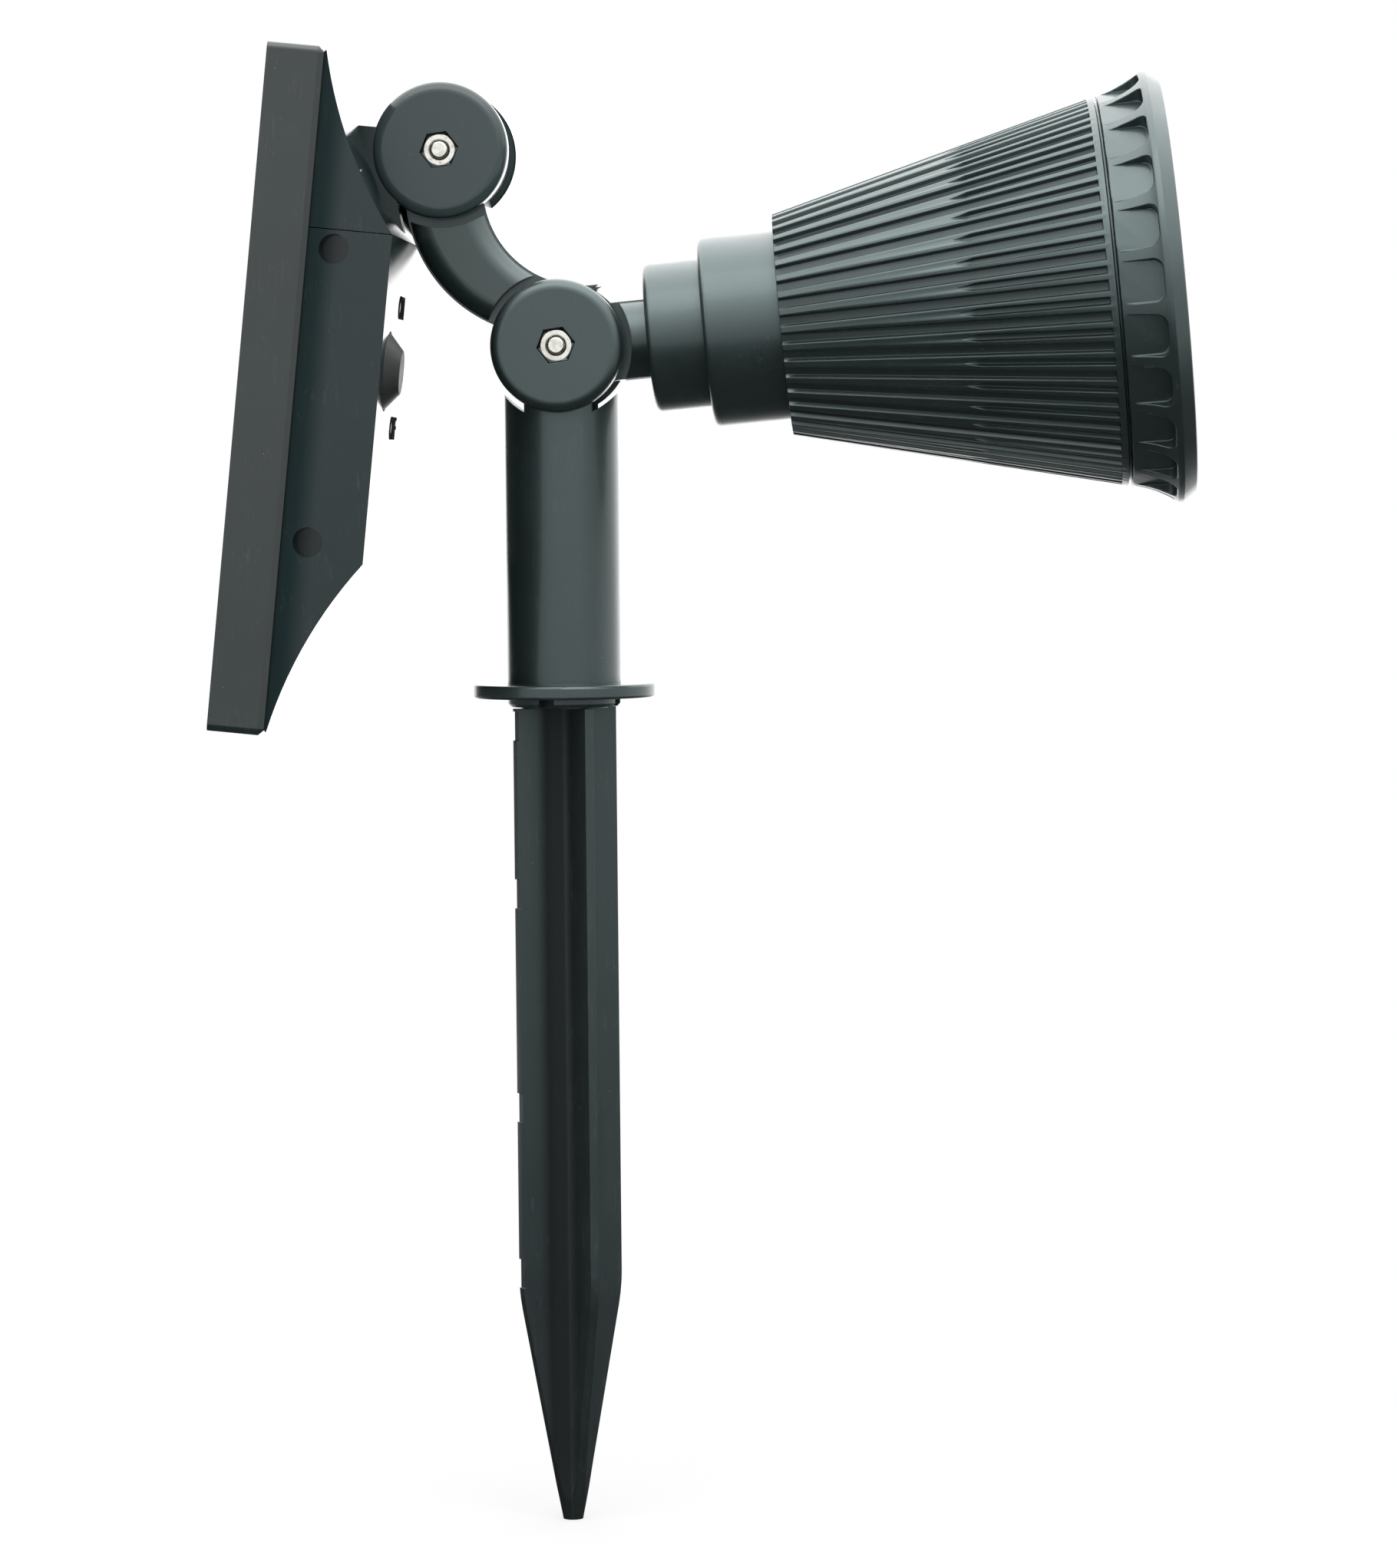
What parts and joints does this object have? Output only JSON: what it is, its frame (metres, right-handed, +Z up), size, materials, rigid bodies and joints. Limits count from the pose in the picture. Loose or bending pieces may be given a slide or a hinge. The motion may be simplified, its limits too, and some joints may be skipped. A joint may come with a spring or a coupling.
{
  "type": "light projector stake",
  "caption": "Solar garden spotlight: ribbed conical lamp head and tilting solar panel on a bolted knuckle arm, over a winged ground stake.",
  "frame": {"origin": "on the column axis at the underside of the ground flange", "axes": "+Z up the column, +X towards the lamp head, +Y along the knuckle bolts towards the bolt heads"},
  "size_m": [0.2118, 0.11, 0.3241],
  "materials": {
    "stake_plastic": "satin black moulded plastic with fine scratches",
    "column_plastic": "satin black moulded plastic",
    "arm_plastic": "satin black moulded plastic",
    "head_plastic": "satin black moulded plastic",
    "bezel_plastic": "satin black moulded plastic",
    "housing_plastic": "satin black moulded plastic",
    "button_rubber": "matte black rubber",
    "zinc_steel": "bright zinc plated steel",
    "lens_clear": "clear polished plastic",
    "seal_rubber": "matte black",
    "reflector": "bright metallised plastic",
    "circuit_board": "green solder mask",
    "emitter": "yellow phosphor",
    "solar_cells": "dark blue cells under clear resin",
    "cell_sleeve": "blue plastic sleeve over a metal can",
    "switch_plastic": "black plastic"
  },
  "bodies": {
    "stake": {"ground_stake": "stake_plastic"},
    "column": {"column_tube": "column_plastic", "lower_pivot_bolt": "zinc_steel", "lower_pivot_nut": "zinc_steel"},
    "arm": {"arm_near_half": "arm_plastic", "arm_far_half": "arm_plastic"},
    "head": {"head_neck": "head_plastic", "ribbed_shell": "head_plastic", "bezel_ring": "bezel_plastic", "front_lens": "lens_clear", "lens_gasket": "seal_rubber", "reflector_tray": "reflector", "light_board": "circuit_board", "light_emitters": "emitter", "shell_screws": "zinc_steel", "board_screws": "zinc_steel"},
    "panel": {"panel_frame": "housing_plastic", "solar_sheet": "solar_cells", "panel_bracket": "housing_plastic", "battery_housing": "housing_plastic", "control_board": "circuit_board", "switch_body": "switch_plastic", "battery_cradle": "switch_plastic", "battery_cell": "cell_sleeve", "battery_contacts": "zinc_steel", "housing_screws": "zinc_steel", "upper_pivot_bolt": "zinc_steel", "upper_pivot_nut": "zinc_steel"},
    "button": {"switch_button": "button_rubber"}
  },
  "joints": [
    {"name": "column_swivel", "type": "hinge", "parent": "stake", "child": "column", "pos_m": [0, 0, 0], "axis": [0, 0, 1], "continuous": true},
    {"name": "head_tilt", "type": "hinge", "parent": "column", "child": "head", "pos_m": [0, 0, 0.0772], "axis": [0, 1, 0], "range_deg": [-45, 10]},
    {"name": "arm_tilt", "type": "hinge", "parent": "column", "child": "arm", "pos_m": [0, 0, 0.0772], "axis": [0, 1, 0], "range_deg": [-18, 12]},
    {"name": "panel_tilt", "type": "hinge", "parent": "arm", "child": "panel", "pos_m": [-0.02497, 0, 0.11994], "axis": [0, 1, 0], "range_deg": [0, 90]},
    {"name": "switch_press", "type": "slide", "parent": "panel", "child": "button", "axis": [-0.9947, 0, 0.1026], "range_m": [0, 0.0015], "stiffness_N_per_m": 600, "springref_m": -0.0008}
  ]
}
